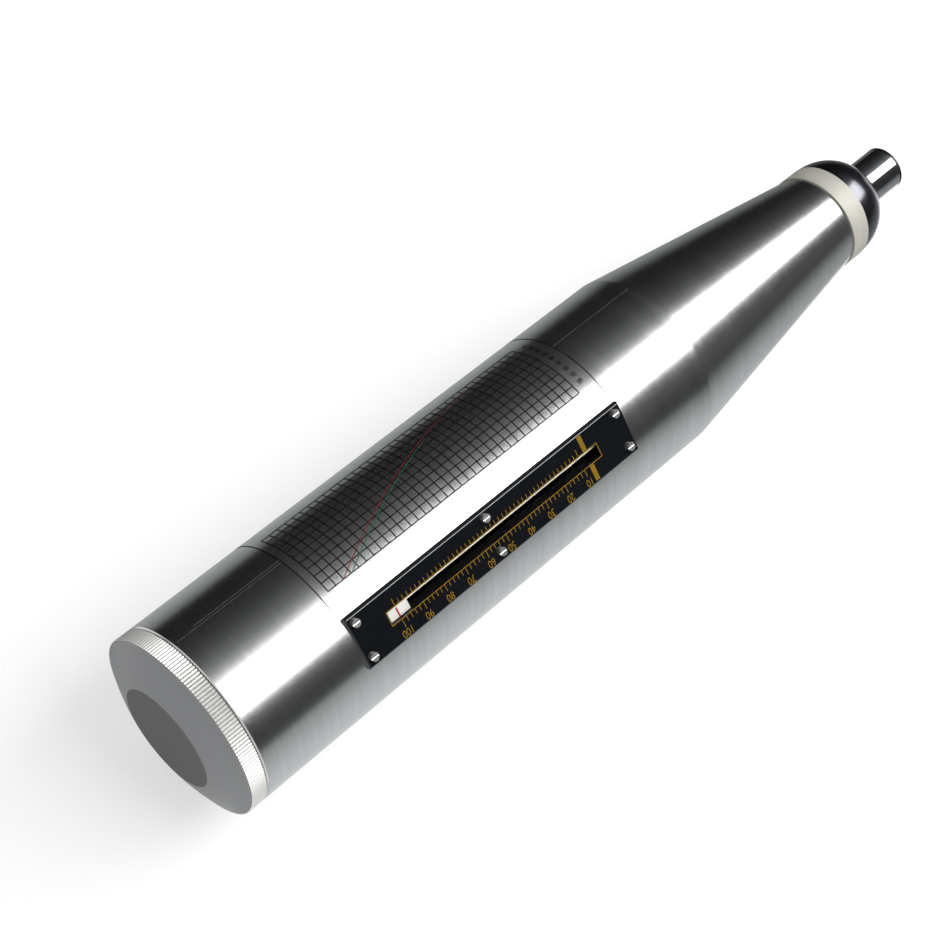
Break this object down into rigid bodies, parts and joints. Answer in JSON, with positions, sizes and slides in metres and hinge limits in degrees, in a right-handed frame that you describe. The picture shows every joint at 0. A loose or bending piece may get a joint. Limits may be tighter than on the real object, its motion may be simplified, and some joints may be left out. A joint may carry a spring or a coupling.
{
  "type": "concrete test hammer",
  "caption": "Rebound hammer for testing concrete: cylindrical metal housing with a tapered nose, striking plunger, knurled rear cover and a black scale plate with a sliding pointer.",
  "frame": {"origin": "centre of the footprint, on the ground that the hammer lies on with its housing and its push button", "axes": "+X along the striking axis towards the plunger's tip; the scale plate faces -Y and 45.6 degrees up, and the push button faces +Y and down"},
  "size_m": [0.292, 0.054, 0.054],
  "materials": {
    "brushed_housing": "fine turned and brushed, satin",
    "pale_aluminium": "pale satin, knurled where it is gripped",
    "polished_steel": "polished",
    "bright_steel": "machined",
    "dark_steel": "blackened, machined",
    "spring_steel": "drawn wire",
    "brass": "turned",
    "black_plate": "gloss black with printed gold marks",
    "window_glass": "clear, polished",
    "white_pointer": "matt white with a red hair line",
    "felt": "dense felt"
  },
  "bodies": {
    "housing": {"housing": "brushed_housing", "rear_cover": "pale_aluminium", "trip_screw": "dark_steel", "lock_nut": "bright_steel", "nose_cap": "pale_aluminium", "felt_washer": "felt", "split_ring": "dark_steel", "nose_sleeve": "brass", "spring_seat": "bright_steel", "scale_plate": "black_plate", "scale_window": "window_glass", "plate_screws": "bright_steel", "pointer_rod": "bright_steel", "button_bush": "pale_aluminium", "button_spring": "spring_steel", "impact_spring": "spring_steel", "pressure_spring": "spring_steel"},
    "plunger_carriage": {"plunger": "polished_steel", "buffer_spring": "spring_steel", "guide_rod": "bright_steel", "guide_disk": "bright_steel", "pawl_pin": "bright_steel", "pawl_spring": "spring_steel"},
    "hammer": {"hammer_mass": "dark_steel"},
    "pawl": {"pawl": "dark_steel"},
    "pointer": {"pointer_block": "white_pointer", "pointer_leaf": "bright_steel"},
    "button": {"push_button": "dark_steel"}
  },
  "joints": [
    {"name": "plunger_slide", "type": "slide", "parent": "housing", "child": "plunger_carriage", "axis": [1, 0, 0], "range_m": [0, 0.075], "deforming": ["pressure_spring"]},
    {"name": "hammer_slide", "type": "slide", "parent": "housing", "child": "hammer", "axis": [1, 0, 0], "range_m": [-0.075, 0], "stiffness_N_per_m": 785, "springref_m": 0.008, "deforming": ["impact_spring"]},
    {"name": "pointer_slide", "type": "slide", "parent": "housing", "child": "pointer", "axis": [1, 0, 0], "range_m": [0, 0.06675]},
    {"name": "button_press", "type": "slide", "parent": "housing", "child": "button", "axis": [0, -0.7002, 0.714], "range_m": [0, 0.003], "stiffness_N_per_m": 500, "springref_m": -0.002, "deforming": ["button_spring"]},
    {"name": "pawl_swing", "type": "hinge", "parent": "plunger_carriage", "child": "pawl", "pos_m": [-0.10661, -0.00942, 0.01776], "axis": [0, 0.7002, -0.714], "range_deg": [0, 8], "stiffness_Nm_per_rad": 0.05, "springref_deg": -5.73, "deforming": ["pawl_spring"]}
  ]
}
